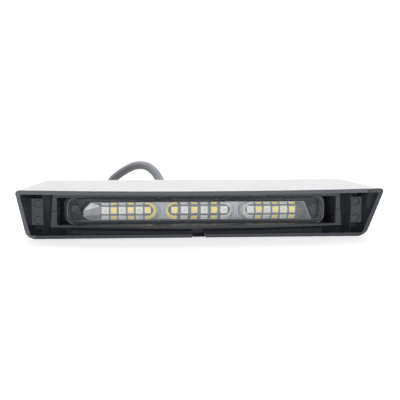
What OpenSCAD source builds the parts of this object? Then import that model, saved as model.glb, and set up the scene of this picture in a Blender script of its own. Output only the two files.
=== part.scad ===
// Slim recessed LED warning light: a white hood round a dark-grey funnel-shaped bezel.
// A long light head with eighteen LEDs in three groups sits in a split frame at the back.
// A cable leaves the rear cover, rises in an arch and ends in a tied coil on the surface behind.
// Millimetres. X across, +Y to the rear, +Z up. The origin is on the flat base, on the
// centre line, half way along the base from its front edge to the hood's rear edge.

/* [Hood] */
// Width of the hood at its top front corners
body_w = 190; // [184:1:200]
// Height of the hood
body_h = 28; // [27.5:0.5:30]
// Length of the flat base from front to rear
base_d = 27; // [26.5:0.5:28]
// How far the top front edge reaches ahead of the bottom one
rake = 18.5; // [15:0.5:22]
// How far the top front edge bows forward at its middle
bow = 9; // [4:0.5:12]
// Taper of each side wall in plan, in degrees
side_taper = 14.8; // [13.5:0.1:15.5]
// Wall of the white hood
hood_wall = 1.2; // [1:0.1:1.4]
// Radius of the upper long edges
edge_r_top = 2.4; // [1.6:0.2:3]
// Radius of the lower long edges
edge_r_low = 4; // [2:0.5:5]

/* [Bezel] */
// Width of the rim face round the mouth
rim_w = 2.2; // [2.2:0.1:2.6]
// Depth of the rim in front of the hood
rim_d = 1.6; // [1.2:0.1:2]
// Rise of the mouth's floor towards the rear, in degrees
floor_slope = 16.6; // [14:0.2:18]
// Distance of the window's lower corners inside the hood's front corners
window_set = 16.5; // [16:0.5:17.5]
// How much narrower the window is at its head, on each side
window_lean = 1.4; // [1:0.1:2]
// Foot of the window above the base
window_low_z = 4.8; // [4.6:0.1:5]
// Head of the window below the hood's top
window_head = 3.5; // [3.4:0.1:3.8]
// Distance of the side plates' faces behind the base's front edge
plate_set = 1; // [0.5:0.5:1.5]
// Width of the slanted flank between the window and each side plate
flank_w = 3.4; // [3:0.1:4]
// Lower edge of each side plate above the base
plate_low_z = 7.4; // [7.2:0.1:7.8]
// Upper edge of each side plate below the hood's top
plate_head = 6.8; // [6.4:0.1:7.2]
// Distance of the fixing screws from the side plates' edges
screw_set = 2.6; // [2.5:0.1:2.8]
// Shank diameter of the fixing screws
screw_d = 2.2; // [2:0.1:2.4]
// Head diameter of the fixing screws
screw_head_d = 3.8; // [3.4:0.1:4]
// How far the strip round the light head bows forward at its middle
strip_bow = 3; // [2:0.25:3.5]
// How much lower the strip's bottom bar is at its middle than at its ends
strip_sag = 0.5; // [0:0.1:0.6]
// Width of the drain notch through the foot of the rim
drain_w = 7.2; // [6:0.2:9]

/* [Light head] */
// Distance of the lens ends inside the hood's front corners
lens_set = 25; // [24.5:0.5:26]
// Height that the hood keeps clear above and below the lens, on average
lens_rise = 6.4; // [6.3:0.1:6.5]
// Corner radius of the lens dome
lens_r = 5; // [3:0.5:6]
// Wall of the lens
lens_wall = 1.4; // [1.2:0.1:1.5]
// Width of the flange round the dome's foot
lens_lip = 1.5; // [1.2:0.1:1.5]
// Depth of the dome in front of its flange
lens_d = 5.6; // [5.2:0.2:5.8]
// Height of the lens centre line as a share of the hood's height
lens_share = 0.45; // [0.445:0.005:0.455]
// Pitch of the light-refracting flutes along the lens
flute_pitch = 1.2; // [1:0.1:2]
// Depth of the flutes
flute_d = 0.4; // [0.3:0.1:0.5]
// Shift of the circuit board to the right, which leaves room for the cable's solder pads
board_shift = 1.8; // [1:0.1:2]
// Pitch of the LEDs in the two outer groups as a share of an optic's length
led_pitch_share_outer = 0.124; // [0.12:0.001:0.13]
// Pitch of the LEDs in the middle group as a share of an optic's length
led_pitch_share_middle = 0.1453; // [0.135:0.001:0.146]
// Side of a clear LED as a share of the outer pitch
led_clear_share = 0.84; // [0.76:0.01:0.86]
// Side of a phosphor LED as a share of the outer pitch
led_white_share = 0.75; // [0.66:0.01:0.8]
// Drop of the LED row below the lens centre line
led_drop = 0.5; // [0.3:0.1:0.6]
// Gap between neighbouring optics
optic_gap = 2.5; // [2:0.1:4]
// Height that the lens cavity keeps clear above and below the optics, together
optic_margin = 3; // [2.9:0.1:3.4]

/* [Rear] */
// Distance from the light head's base to the outside of the rear cover
cover_gap = 4.5; // [4.4:0.1:8]
// Thickness of the rubber seal on the mounting plane
seal_t = 2; // [1.5:0.5:3]
// Distance between the two mounting inserts
insert_span = 100; // [80:5:110]
// Bore of the mounting inserts
insert_bore_d = 3.4; // [3.2:0.1:3.6]
// Position of the cable outlet across the rear cover
gland_x = -14; // [-20:1:-8]
// Rise of the cable outlet above the lens centre line
gland_rise = 1.4; // [0.5:0.1:1.6]
// Length of the strain relief behind the cover
gland_d = 11; // [9:1:13]

/* [Cable] */
// Diameter of the cable
cable_d = 5.2; // [4.8:0.1:5.4]
// Mean diameter of the coil
coil_d = 57; // [54:1:60]
// Turns of cable that the coil stands for
coil_turns = 5; // [4:1:6]
// Coil's share of a full circle, in degrees
coil_sweep = 320; // [310:1:325]

/* [Hidden] */
$fn = 64;

// Clearance round each loose fit
gap = 0.2;
front_y = -base_d / 2;
rear_y = base_d / 2;
tip_y = front_y - rake;
taper_k = tan(side_taper);
floor_k = tan(floor_slope);
// Depth at which the floor meets the rim's inner edge
sill_y = front_y - rake * rim_w / body_h;
ceiling_z = body_h - rim_w;
liner_t = rim_w - hood_wall - 0.1;
window_x_low = body_w / 2 - window_set;
window_x_top = window_x_low - window_lean;
window_high_z = body_h - window_head;
plate_x = window_x_low + flank_w;
plate_high_z = body_h - plate_head;
screw_span = 2 * (plate_x + screw_set);
screw_low_z = plate_low_z + screw_set;
screw_high_z = plate_high_z - screw_set;
plate_y = front_y + plate_set;
plate_back_y = plate_y + 4.5;
flank_end_y = plate_y + 6.3;
bezel_y = flank_end_y + 2.2;
bezel_wall = 1.2;
frame_y = bezel_y + gap;
// Front plane of the light head
head_y = bezel_y + 4;
frame_d = 8.6;
frame_half = window_x_low + 1.5;
frame_screw_x = frame_half - 2.6;
frame_head_z = body_h - 7;
lens_w = body_w - 2 * lens_set;
lens_h = body_h - 2 * lens_rise;
lens_z = lens_share * body_h;
lens_low_z = lens_z - lens_h / 2;
lens_high_z = lens_z + lens_h / 2;
seam_z = lens_z + 1.1;
collar_y = frame_y + frame_d;
flange_y = head_y + lens_d;
flange_t = 1.2;
lamp_w = lens_w + 2 * lens_lip;
lamp_h = lens_h + 1;
seal_y = flange_y + flange_t + 0.05;
lens_seal_t = 0.7;
lamp_y = seal_y + lens_seal_t + 0.05;
cavity_w = lens_w - 2 * lens_wall;
cavity_h = lens_h - 2 * lens_wall;
group_pitch = lens_w / 3.5;
optic_w = group_pitch - optic_gap;
optic_h = cavity_h - optic_margin;
optic_room_h = optic_h + 0.4;
optic_room_d = 4;
led_pitch_outer = led_pitch_share_outer * optic_w;
led_pitch_middle = led_pitch_share_middle * optic_w;
led_clear_w = led_clear_share * led_pitch_outer;
led_white_w = led_white_share * led_pitch_outer;
led_z = lens_z - led_drop;
board_w = cavity_w - 5.2;
board_h = cavity_h - 0.8;
board_hole_x = board_w / 2 - 2.8;
board_y = head_y + 10;
board_t = 1.6;
led_h = 0.9;
// Thickness of the floor of each trough
trough_floor_t = 0.35;
pad_y = board_y + board_t + 0.05;
floor_y = pad_y + 0.35;
lamp_end_y = floor_y + 5;
cover_y = rear_y - 1.9;
cover_wall = 1.6;
cover_end_y = lamp_end_y + cover_gap;
spigot_d = cover_end_y - rear_y;
lamp_screw_x = lens_w / 2 - 3;
cover_w = lens_w + 10;
cover_z = [2.8, body_h - 5.6];
mount_y = rear_y + seal_t;
gland_y = cover_end_y + gland_d;
gland_z = lens_z + gland_rise;
cover_screw_x = half_w(rear_y) - 4.8;
cover_screw_z = [5.2, body_h - 5.4];

// Half width of the hood at a depth
function half_w(y) = body_w / 2 - (y - tip_y) * taper_k;

// Height of the mouth's floor at a depth
function floor_z(y) = rim_w + (y - sill_y) * floor_k;

// Depth of the raked and bowed front face at a point across and up
function face_y(x, z) = front_y - rake * z / body_h
    - bow * (1 - pow(2 * x / body_w, 2)) * z / body_h;

// A disc facing the front, one corner of a tapered block's end
module corner(x, y, z, r) {
    translate([x, y, z]) rotate([90, 0, 0]) cylinder(r = r, h = 0.02, $fn = 32);
}

// Block from y0 to y1 that follows the side taper, with lower and upper faces given at each end
module tapered_block(y0, y1, inset, low0, low1, top, r_low, r_top) {
    hull() for (s = [-1, 1]) {
        corner(s * (half_w(y0) - inset - r_low), y0 + 0.02, low0 + r_low, r_low);
        corner(s * (half_w(y1) - inset - r_low), y1, low1 + r_low, r_low);
        corner(s * (half_w(y0) - inset - r_top), y0 + 0.02, top - r_top, r_top);
        corner(s * (half_w(y1) - inset - r_top), y1, top - r_top, r_top);
    }
}

// Everything behind the raked and bowed front face, moved back by a shift
module behind_face(shift) {
    n = 24;
    x = body_w / 2 + 8;
    low = -12;
    top = body_h + 6;
    far = 60;
    xs = [for (i = [0:n]) -x + 2 * x * i / n];
    pts = concat(
        [for (i = [0:n]) [xs[i], face_y(xs[i], low) + shift, low]],
        [for (i = [0:n]) [xs[i], face_y(xs[i], top) + shift, top]],
        [[-x, far, low], [x, far, low], [-x, far, top], [x, far, top]]);
    b = 2 * n + 2;
    faces = concat(
        [for (i = [0:n - 1]) [i, n + 1 + i, n + 2 + i]],
        [for (i = [0:n - 1]) [i, n + 2 + i, i + 1]],
        [concat([b + 2, b + 3], [for (i = [n:-1:0]) n + 1 + i])],
        [concat([for (i = [0:n]) i], [b + 1, b])],
        [[b, b + 2, n + 1, 0], [n, 2 * n + 1, b + 3, b + 1], [b + 1, b + 3, b + 2, b]]);
    polyhedron(pts, faces);
}

// Box given by its low and high corners
module span(a, b) {
    translate(a) cube(b - a);
}

// Rounded rectangle in the XZ plane, from y0 towards the rear by t
module slab(w, h, r, y0, t, x = 0, z = lens_z) {
    translate([x, y0 + t, z]) rotate([90, 0, 0]) linear_extrude(t) union() {
        square([w - 2 * r, h], center = true);
        square([w, h - 2 * r], center = true);
        for (i = [-1, 1], j = [-1, 1]) translate([i * (w / 2 - r), j * (h / 2 - r)]) circle(r);
    }
}

// Round bar along Y
module bar(d, x, z, y0, y1) {
    translate([x, y1, z]) rotate([90, 0, 0]) cylinder(d = d, h = y1 - y0);
}

// Places a child at each of the four fixing points of the side plates
module at_fixings() {
    for (s = [-1, 1], z = [screw_low_z, screw_high_z]) translate([s * screw_span / 2, 0, z]) children();
}

// Slot at the foot of the mouth through which water drains
module drain(y_end, top) {
    span([-drain_w / 2, front_y - 8, -1], [drain_w / 2, y_end, top]);
}

// White outer hood with lugs for the bezel screws at its sides and for the cover screws at its rear
module hood() {
    color("#ededee") difference() {
        intersection() {
            tapered_block(tip_y - 12, rear_y, 0, 0, 0, body_h, edge_r_low, edge_r_top);
            behind_face(rim_d);
            difference() {
                span([-body_w, tip_y - 12, -1], [body_w, rear_y + 1, body_h + 1]);
                hood_room();
            }
        }
        drain(frame_y + 2, hood_wall + 0.5);
        at_fixings() bar(screw_d + 0.1, 0, 0, bezel_y - 1, head_y + 0.4);
        for (s = [-1, 1], z = cover_screw_z)
            bar(screw_d + 0.1, s * cover_screw_x, z, collar_y - 0.2, cover_y);
    }
}

// Room inside the hood, which leaves its walls and lugs
module hood_room() {
    difference() {
        tapered_block(tip_y - 14, rear_y + 0.5, hood_wall, hood_wall, hood_wall,
            body_h - hood_wall, 2.6, 1.2);
        for (s = [-1, 1]) {
            translate([s * (screw_span / 2 + 1.5), 0, 0])
                span([-5, bezel_y + 0.15, screw_low_z - 4], [5, head_y + 1, screw_high_z + 4]);
            for (z = [cover_screw_z[0] - 1, cover_screw_z[1] + 1])
                translate([s * (cover_screw_x + 1.3), 0, z])
                span([-4.3, collar_y + 0.1, -4], [4.3, cover_y - 0.1, 4]);
        }
    }
}

// Solid wedge of the bezel's liner before the mouth is cut
module liner() {
    intersection() {
        tapered_block(tip_y - 12, bezel_y, hood_wall + 0.1, floor_z(tip_y - 12) - liner_t,
            floor_z(bezel_y) - liner_t, body_h - hood_wall - 0.1, 2.5, 1);
        behind_face(rim_d - 0.01);
    }
}

// Front rim of the bezel, flush with the hood's outside
module rim() {
    difference() {
        intersection() {
            tapered_block(tip_y - 12, front_y + 6, 0, 0, 0, body_h, edge_r_low, edge_r_top);
            behind_face(0);
        }
        behind_face(rim_d);
    }
}

// Open space of the mouth, from far ahead to the bezel's rear wall
module mouth() {
    tapered_block(tip_y - 14, bezel_y - bezel_wall, rim_w, floor_z(tip_y - 14),
        floor_z(bezel_y - bezel_wall), ceiling_z, 0.8, 0.8);
}

// Slanted wall between a side plate and the window, which ends in a plain edge at the front
module flank() {
    hull() for (e = [[window_x_low, window_low_z - 2], [window_x_top, window_high_z]])
        translate([0, 0, e[1]]) linear_extrude(2) polygon([[plate_x, plate_y],
            [plate_x + 0.1, plate_y], [e[0] + 1.8, bezel_y - 1], [e[0], bezel_y - 1],
            [e[0], flank_end_y]]);
}

// Side plate on the step that carries it, from the flank to the side wall
module side_plate() {
    translate([0, 0, plate_low_z]) linear_extrude(plate_high_z - plate_low_z)
        polygon([[plate_x, plate_y], [body_w / 2, plate_y], [body_w / 2, plate_back_y],
            [plate_x - 1.4, plate_back_y]]);
    span([plate_x - 1.4, plate_back_y, -1], [body_w / 2, bezel_y, body_h + 1]);
}

// Dark-grey bezel: rim, funnel walls, side plates and rear wall in one moulding
module bezel() {
    color("#4b4d52") difference() {
        union() {
            rim();
            liner();
        }
        difference() {
            mouth();
            for (s = [0, 1]) mirror([s, 0, 0]) {
                flank();
                side_plate();
            }
            at_fixings() bar(screw_head_d + 1.4, 0, 0, plate_y + 1, bezel_y);
        }
        translate([0, bezel_y + 1, 0]) rotate([90, 0, 0]) linear_extrude(bezel_wall + 4)
            polygon([[-window_x_low, window_low_z], [window_x_low, window_low_z],
                [window_x_top, window_high_z], [-window_x_top, window_high_z]]);
        at_fixings() {
            bar(screw_head_d + 0.3, 0, 0, plate_y - 1, plate_y + 1.3);
            bar(screw_d + 0.3, 0, 0, plate_y, bezel_y + 1);
        }
        drain(bezel_y + 1, window_low_z + 1);
    }
}

// Cylinder-headed screw that points to the rear, with its head's outer face at y
module screw(x, z, y, head_d, head_t, shank) {
    difference() {
        union() {
            bar(head_d, x, z, y, y + head_t);
            bar(screw_d, x, z, y, y + head_t + shank);
        }
        translate([x, y + 0.8, z]) rotate([90, 0, 0]) cylinder(d = head_d * 0.6, h = 1, $fn = 6);
    }
}

// Four black screws through the side plates into the hood's side lugs
module fixing_screws() {
    color("#2a2b2e") for (s = [-1, 1], z = [screw_low_z, screw_high_z])
        screw(s * screw_span / 2, z, plate_y + 0.1, screw_head_d, 1.2, head_y - plate_y - 1.5);
}

// Outline of the window, smaller by its clearance, as a block from y0 to y1 with its foot at low
module window_block(y0, y1, low) {
    translate([0, y1, 0]) rotate([90, 0, 0]) linear_extrude(y1 - y0)
        polygon([[-window_x_low + 0.15, low], [window_x_low - 0.15, low],
            [window_x_top - 0.15, window_high_z - 0.15],
            [-window_x_top + 0.15, window_high_z - 0.15]]);
}

// Bowed front of the bottom bar, just above the mouth's sloping floor, relieved over the drain
module strip_front(half) {
    n = 24;
    difference() {
        intersection() {
            span([-half, flank_end_y - strip_bow - 1, 1], [half, flank_end_y + 0.5, lens_low_z + 1.6]);
            tapered_block(tip_y, bezel_y, rim_w + gap, floor_z(tip_y) + 0.15,
                floor_z(bezel_y) + 0.15, ceiling_z - gap, 0.8, 0.8);
            linear_extrude(body_h) polygon(concat(
                [for (i = [0:n]) let(at = 2 * i / n - 1)
                    [half * at, flank_end_y - strip_bow * (1 - at * at)]],
                [[half, flank_end_y + 1], [-half, flank_end_y + 1]]));
        }
        drain(flank_end_y - 0.01, window_low_z - 0.35);
    }
}

// Hollow of the bottom bar's upper edge, deepest at the middle
module strip_hollow(half) {
    n = 16;
    z = lens_low_z + 1.1;
    translate([0, flank_end_y + 1.8, 0]) rotate([90, 0, 0]) linear_extrude(strip_bow + 2)
        polygon(concat([[half, z + 1], [-half, z + 1]],
            [for (i = [0:n]) let(at = 2 * i / n - 1) [half * at, z - strip_sag * (1 - at * at)]]));
}

// Outline of both frame halves, before the split: front tongue, body and rear collar
module frame_solid() {
    side = lens_w / 2 + 2.6;
    difference() {
        union() {
            window_block(flank_end_y, frame_y + 1, window_low_z + 0.15);
            strip_front(side + 2.4);
            span([-frame_half, frame_y, hood_wall + gap],
                [frame_half, frame_y + frame_d - 0.2, body_h - hood_wall - gap]);
            slab(lamp_w + 5.8, lamp_h + 4.2, 0.6, frame_y, head_y + 8 - frame_y);
            span([-drain_w / 2 + 0.15, flank_end_y, 0.3], [drain_w / 2 - 0.15, frame_y + 1, 6]);
        }
        span([-side - 2.4, flank_end_y - strip_bow - 0.1, lens_low_z + 1.1],
            [side + 2.4, flank_end_y, lens_high_z + 0.7]);
        strip_hollow(side + 2.4);
        hull() {
            span([-side - 2.4, flank_end_y - 0.1, lens_low_z + 1.1],
                [side + 2.4, flank_end_y, lens_high_z + 0.7]);
            span([-side, head_y + 9, lens_low_z + 1.1], [side, head_y + 9.1, lens_high_z + 0.7]);
        }
        span([-side, flank_end_y + 1.8, lens_low_z + 0.4], [side, head_y + 9, lens_high_z + 1]);
        span([-side, flank_end_y + 3.8, lens_low_z - 0.8], [side, head_y + 9, lens_high_z + 1]);
    }
}

// Vertical holes that take the frame's clamping screws
module frame_holes() {
    for (s = [-1, 1]) translate([s * frame_screw_x, head_y + 1.4, 0]) {
        translate([0, 0, 5]) cylinder(d = screw_d + 0.1, h = seam_z - 4);
        translate([0, 0, seam_z]) cylinder(d = screw_d + 0.3, h = body_h / 2);
        translate([0, 0, frame_head_z]) cylinder(d = screw_head_d + 0.4, h = 8);
    }
}

// Lower half of the frame round the light head, with the tongue behind the drain notch
module frame_lower() {
    color("#4b4d52") difference() {
        frame_solid();
        span([-body_w / 2, front_y, seam_z - 0.15], [body_w / 2, rear_y, body_h + 1]);
        frame_holes();
    }
}

// Upper half of the frame round the light head
module frame_upper() {
    color("#4b4d52") difference() {
        frame_solid();
        span([-body_w / 2, front_y, -1], [body_w / 2, rear_y, seam_z + 0.15]);
        frame_holes();
    }
}

// Two screws that clamp the frame halves together
module frame_screws() {
    color("#8a8c90") for (s = [-1, 1]) translate([s * frame_screw_x, head_y + 1.4, 0]) difference() {
        union() {
            translate([0, 0, 7]) cylinder(d = screw_d, h = frame_head_z - 5);
            translate([0, 0, frame_head_z + 0.1]) cylinder(d = screw_head_d, h = 2);
        }
        translate([0, 0, frame_head_z + 1]) cylinder(d = 2, h = 2, $fn = 6);
    }
}

// Flutes above or below the optics, along the lens
function flute_row(side) = let(n = floor((cavity_w - 2 * lens_r) / flute_pitch))
    [for (i = [0:2 * n]) let(x = (i - n) * flute_pitch / 2)
        [side * x, side * (optic_room_h / 2 + (i % 2 == 0 ? 0 : flute_d))]];

// Clear lens: a long dome over a thin flange, with thick fluted bands above and below the optics
module lens() {
    color("#dfe6e8", 0.35) difference() {
        union() {
            slab(lens_w, lens_h, lens_r, head_y, lens_d);
            slab(lamp_w, lamp_h, lens_r + 0.5, flange_y, flange_t);
        }
        slab(cavity_w, cavity_h, lens_r - lens_wall, head_y + optic_room_d, lens_d + 4);
        slab(cavity_w, optic_room_h, 2, head_y + lens_wall, optic_room_d, 0, led_z);
        translate([0, head_y + optic_room_d + 0.1, led_z]) rotate([90, 0, 0])
            linear_extrude(optic_room_d + 0.1 - lens_wall)
            polygon(concat(flute_row(1), flute_row(-1)));
    }
}

// Thin silicone ring between the lens flange and the base
module lens_seal() {
    color("#1c1d1f") difference() {
        slab(lamp_w - 0.4, lamp_h - 0.4, lens_r, seal_y, lens_seal_t);
        slab(cavity_w, cavity_h, lens_r - lens_wall, seal_y - 1, 4);
    }
}

// Centre of a group across the lens, left to right
function group_x(g) = board_shift + (g - 1) * group_pitch;

// Long stadium-ended optic with a convex front and a relief behind for its six LEDs
module optic(g) {
    y0 = head_y + 2;
    r = 9;
    color("#e8eef0", 0.35) difference() {
        intersection() {
            slab(optic_w, optic_h, optic_h / 2 - 0.01, y0, 2.9, group_x(g), led_z);
            translate([group_x(g) - optic_w / 2 - 1, y0 + r, led_z]) rotate([0, 90, 0])
                cylinder(r = r, h = optic_w + 2);
        }
        slab(optic_w - 4, optic_h - 4.4, optic_h / 2 - 2.3, y0 + 2.1, 4, group_x(g), led_z);
    }
}
module optic_left() { optic(0); }
module optic_middle() { optic(1); }
module optic_right() { optic(2); }

// Bright metallised reflector: three troughs whose thin floors have a window for each LED, and
// a sloping facet at each end
module reflector() {
    y0 = head_y + 4.1;
    y1 = head_y + 9.85;
    top = led_z + optic_h / 2 + 0.1;
    low = led_z - optic_h / 2 - 0.1;
    half = cavity_w / 2;
    color("#c4c7ca") difference() {
        translate([board_shift, 0, 0]) intersection() {
            translate([0, y1, 0]) rotate([90, 0, 0]) linear_extrude(y1 - y0)
                polygon([[6.1 - half, low], [half - 6.1, low], [half - 10.1, top], [10.1 - half, top]]);
            translate([0, 0, low - 1]) linear_extrude(top - low + 2)
                polygon([[4.6 - half, y1], [4.6 - half, y1 - 1.2], [12.6 - half, y0],
                    [half - 12.6, y0], [half - 4.6, y1 - 1.2], [half - 4.6, y1]]);
        }
        for (g = [0:2]) {
            slab(optic_w + 0.4, optic_room_h, optic_h / 2 + 0.1, y0 - 1, 1.85, group_x(g), led_z);
            hull() {
                slab(optic_w - 1.4, optic_h - 1.2, optic_h / 2 - 0.7, y0 + 0.8, 0.1, group_x(g), led_z);
                slab(led_pitch_middle * 5 + led_clear_w + 1.5, led_clear_w + 0.7, 0.6,
                    y1 - trough_floor_t - 0.1, 0.1, group_x(g), led_z);
            }
        }
        at_leds(0) led_window(led_clear_w + 0.3);
        at_leds(1) led_window(led_white_w + 0.3);
    }
}

// LED positions of one kind: the two kinds alternate along each group
module at_leds(kind) {
    for (g = [0:2], i = [0:5]) if ((i + (g == 1 ? 1 : 0)) % 2 == kind) {
        pitch = g == 1 ? led_pitch_middle : led_pitch_outer;
        translate([group_x(g) + (i - 2.5) * pitch, 0, led_z]) children();
    }
}

// Square window for one LED through a trough's floor
module led_window(w) {
    span([-w / 2, board_y - led_h - 0.6, -w / 2], [w / 2, board_y, w / 2]);
}

// Square LED package on the board
module led(w) {
    span([-w / 2, board_y - led_h, -w / 2], [w / 2, board_y, w / 2]);
}
module clear_leds() {
    color("#c9c7c4") at_leds(0) led(led_clear_w);
}
module phosphor_leds() {
    color("#dfcf7a") at_leds(1) led(led_white_w);
}

// Circuit board, black, with two holes for the lamp's screws
module circuit_board() {
    color("#26282b") difference() {
        slab(board_w, board_h, lens_r - lens_wall - gap, board_y + 0.02, board_t, board_shift);
        for (s = [-1, 1]) bar(3.2, board_shift + s * board_hole_x, lens_z, board_y - 1, board_y + 3);
    }
}

// Driver chips beside the LED rows, one at each gap and end
module driver_chips() {
    color("#1e1f21") {
        for (s = [-1, 1]) translate([board_shift + s * board_hole_x, board_y, lens_z]) {
            translate([-s * 1.7, 0, board_h / 2]) span([-1.2, -0.95, -4], [1.2, -0.02, -1.4]);
            translate([s * 0.4, 0, -board_h / 2]) span([-1, -0.85, 0.8], [1, -0.02, 2.8]);
        }
    }
}

// Heat-conducting pad between the board and the base
module thermal_pad() {
    color("#7d8fa0") slab(board_w - 8, board_h - 0.6, 1, pad_y, 0.3, board_shift);
}

// Cast base of the light head: a tray for the board in front, a room for the joints behind
module lamp_base() {
    color("#8f9296") difference() {
        slab(lamp_w, lamp_h, lens_r + 0.5, lamp_y, lamp_end_y - lamp_y);
        slab(cavity_w - 0.4, cavity_h - 0.2, lens_r - lens_wall, lamp_y - 1, floor_y - lamp_y + 1);
        slab(lens_w - 30, lens_h - 6.2, 2, floor_y + 1.4, 5);
        for (s = [-1, 1]) {
            bar(3, board_shift + s * board_hole_x, lens_z, floor_y - 1, lamp_end_y + 1);
            bar(screw_d + 0.1, s * lamp_screw_x, lens_z, floor_y + 0.8, lamp_end_y + 1);
        }
    }
}

// Resin that seals the joints in the rear room of the base, with the cable passing through
module potting() {
    color("#26272a") difference() {
        slab(lens_w - 30.4, lens_h - 6.6, 1.8, floor_y + 1.5, 3.3);
        bar(cable_d + 0.1, gland_x, gland_z, floor_y + 2.4, lamp_end_y + 1);
    }
}

// Two screws that hold the base to the rear cover
module lamp_screws() {
    color("#8a8c90") for (s = [-1, 1]) mirror([0, 1, 0])
        screw(s * lamp_screw_x, lens_z, -cover_end_y + 0.1, 3.8, 1.2, cover_end_y - lamp_end_y + 1.9);
}

// Rear cover: a flange inside the hood and a box that stands in the vehicle's cut-out
module rear_cover() {
    mid_z = (cover_z[0] + cover_z[1]) / 2;
    high = cover_z[1] - cover_z[0];
    color("#3a3c40") difference() {
        union() {
            slab(2 * (half_w(rear_y) - hood_wall - gap), body_h - 2 * (hood_wall + gap), 3,
                cover_y, rear_y - cover_y, 0, body_h / 2);
            slab(cover_w, high, 3, rear_y - 0.5, spigot_d + 0.5, 0, mid_z);
        }
        difference() {
            slab(cover_w - 2 * cover_wall, high - 2 * cover_wall, 1.6, cover_y - 1,
                cover_end_y - cover_y + 1 - cover_wall, 0, mid_z);
            for (s = [-1, 1]) {
                bar(5.4, s * lamp_screw_x, lens_z, lamp_end_y + 0.1, cover_end_y);
                bar(7.4, s * insert_span / 2, lens_z, lamp_end_y + 0.1, cover_end_y);
            }
        }
        for (s = [-1, 1]) {
            bar(screw_d + 0.3, s * lamp_screw_x, lens_z, lamp_end_y - 1, cover_end_y + 1);
            bar(4.1, s * lamp_screw_x, lens_z, cover_end_y - 1.3, cover_end_y + 1);
            bar(5.65, s * insert_span / 2, lens_z, lamp_end_y - 1, cover_end_y + 1);
        }
        for (s = [-1, 1], z = cover_screw_z)
            bar(screw_d + 0.3, s * cover_screw_x, z, cover_y - 1, rear_y + 1);
        bar(8.2, gland_x, gland_z, cover_end_y - 4, cover_end_y + 1);
    }
}

// Four screws that hold the rear cover to the hood
module cover_screws() {
    color("#8a8c90") for (s = [-1, 1], z = cover_screw_z) mirror([0, 1, 0])
        screw(s * cover_screw_x, z, -rear_y - 1.3, 4, 1.2, rear_y - collar_y - 1.7);
}

// Foam seal on the mounting plane, with the cover screws' heads in its holes
module rear_seal() {
    color("#232426") difference() {
        slab(2 * half_w(rear_y) - 1, body_h - 1, 3, rear_y + 0.05, seal_t - 0.05, 0, body_h / 2);
        slab(cover_w + 0.4, cover_z[1] - cover_z[0] + 0.4, 3, rear_y - 1, 6, 0,
            (cover_z[0] + cover_z[1]) / 2);
        for (s = [-1, 1], z = cover_screw_z) bar(4.8, s * cover_screw_x, z, rear_y - 1, mount_y + 1);
    }
}

// Two brass inserts that take the mounting screws from the vehicle's side
module mount_inserts() {
    color("#c2a04e") for (s = [-1, 1]) difference() {
        bar(5.6, s * insert_span / 2, lens_z, lamp_end_y + 0.15, cover_end_y);
        bar(insert_bore_d, s * insert_span / 2, lens_z, lamp_end_y - 1, cover_end_y + 1);
    }
}

// Rubber strain relief: a grommet in the rear cover's wall and a tapered sleeve behind it
module cable_gland() {
    color("#2b2c2f") difference() {
        translate([gland_x, 0, gland_z]) rotate([-90, 0, 0]) union() {
            translate([0, 0, cover_end_y - cover_wall - 1.2]) cylinder(d = 10, h = 1.15);
            translate([0, 0, cover_end_y - cover_wall - 0.1]) cylinder(d = 8.1, h = cover_wall + 0.2);
            translate([0, 0, cover_end_y + 0.05]) cylinder(d = 11, h = 1.6);
            translate([0, 0, cover_end_y + 1.6]) cylinder(d1 = 9, d2 = 7, h = gland_d - 1.6);
        }
        bar(cable_d + 0.2, gland_x, gland_z, cover_end_y - 5, gland_y + 1);
    }
}

// Coil of cable: its place on the surface, its section and its ends
coil_at = [12, 107];
coil_r = coil_d / 2;
coil_lift = 1.2;
strand_z = coil_lift + cable_d / 2;
strands_wide = ceil((coil_turns + 1) / 2);
bundle_w = strands_wide * cable_d;
bundle_h = 2 * cable_d;
// Radius at which the outermost strand of the coil lies
outer_r = coil_r + (bundle_w - cable_d) / 2;

// Points that the cable's centre line follows from the light head to the coil
route = [
    [gland_x, lamp_end_y - 1.4, gland_z],
    [gland_x, cover_end_y + 2, gland_z],
    [gland_x, gland_y, gland_z],
    [-14.2, 41, 14.7],
    [-15, 49.6, 17.9],
    [-16.6, 58, 22.3],
    [-19.5, 66.3, 26.8],
    [-24, 74.8, 29.7],
    [-30, 83.6, 29.3],
    [-36.3, 92.3, 25.7],
    [-42.5, 100.8, 20.4],
    [-45.7, 109.4, 15.6],
    [-45.8, 118.6, 11.2],
    [-42.7, 127.3, 7.8],
    [-36.8, 134.4, 5.5],
    [-28.8, 139, 4.1],
    [-19.8, coil_at[1] + outer_r, strand_z],
    [-9, coil_at[1] + outer_r, strand_z],
    [1.5, coil_at[1] + outer_r, strand_z],
    [coil_at[0] - 0.1, coil_at[1] + outer_r, strand_z]];

// Smooth curve through the route, with the given steps between points
function curve_at(p, i, t) = let(
    n = len(p) - 1,
    a = p[max(i - 1, 0)], b = p[i], c = p[i + 1], d = p[min(i + 2, n)])
    0.5 * ((2 * b) + (c - a) * t + (2 * a - 5 * b + 4 * c - d) * t * t
        + (3 * b - a - 3 * c + d) * t * t * t);
function smooth(p, steps) = concat(
    [for (i = [0:len(p) - 2], j = [0:steps - 1]) curve_at(p, i, j / steps)],
    [p[len(p) - 1]]);
function unit(v) = v / norm(v);

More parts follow.
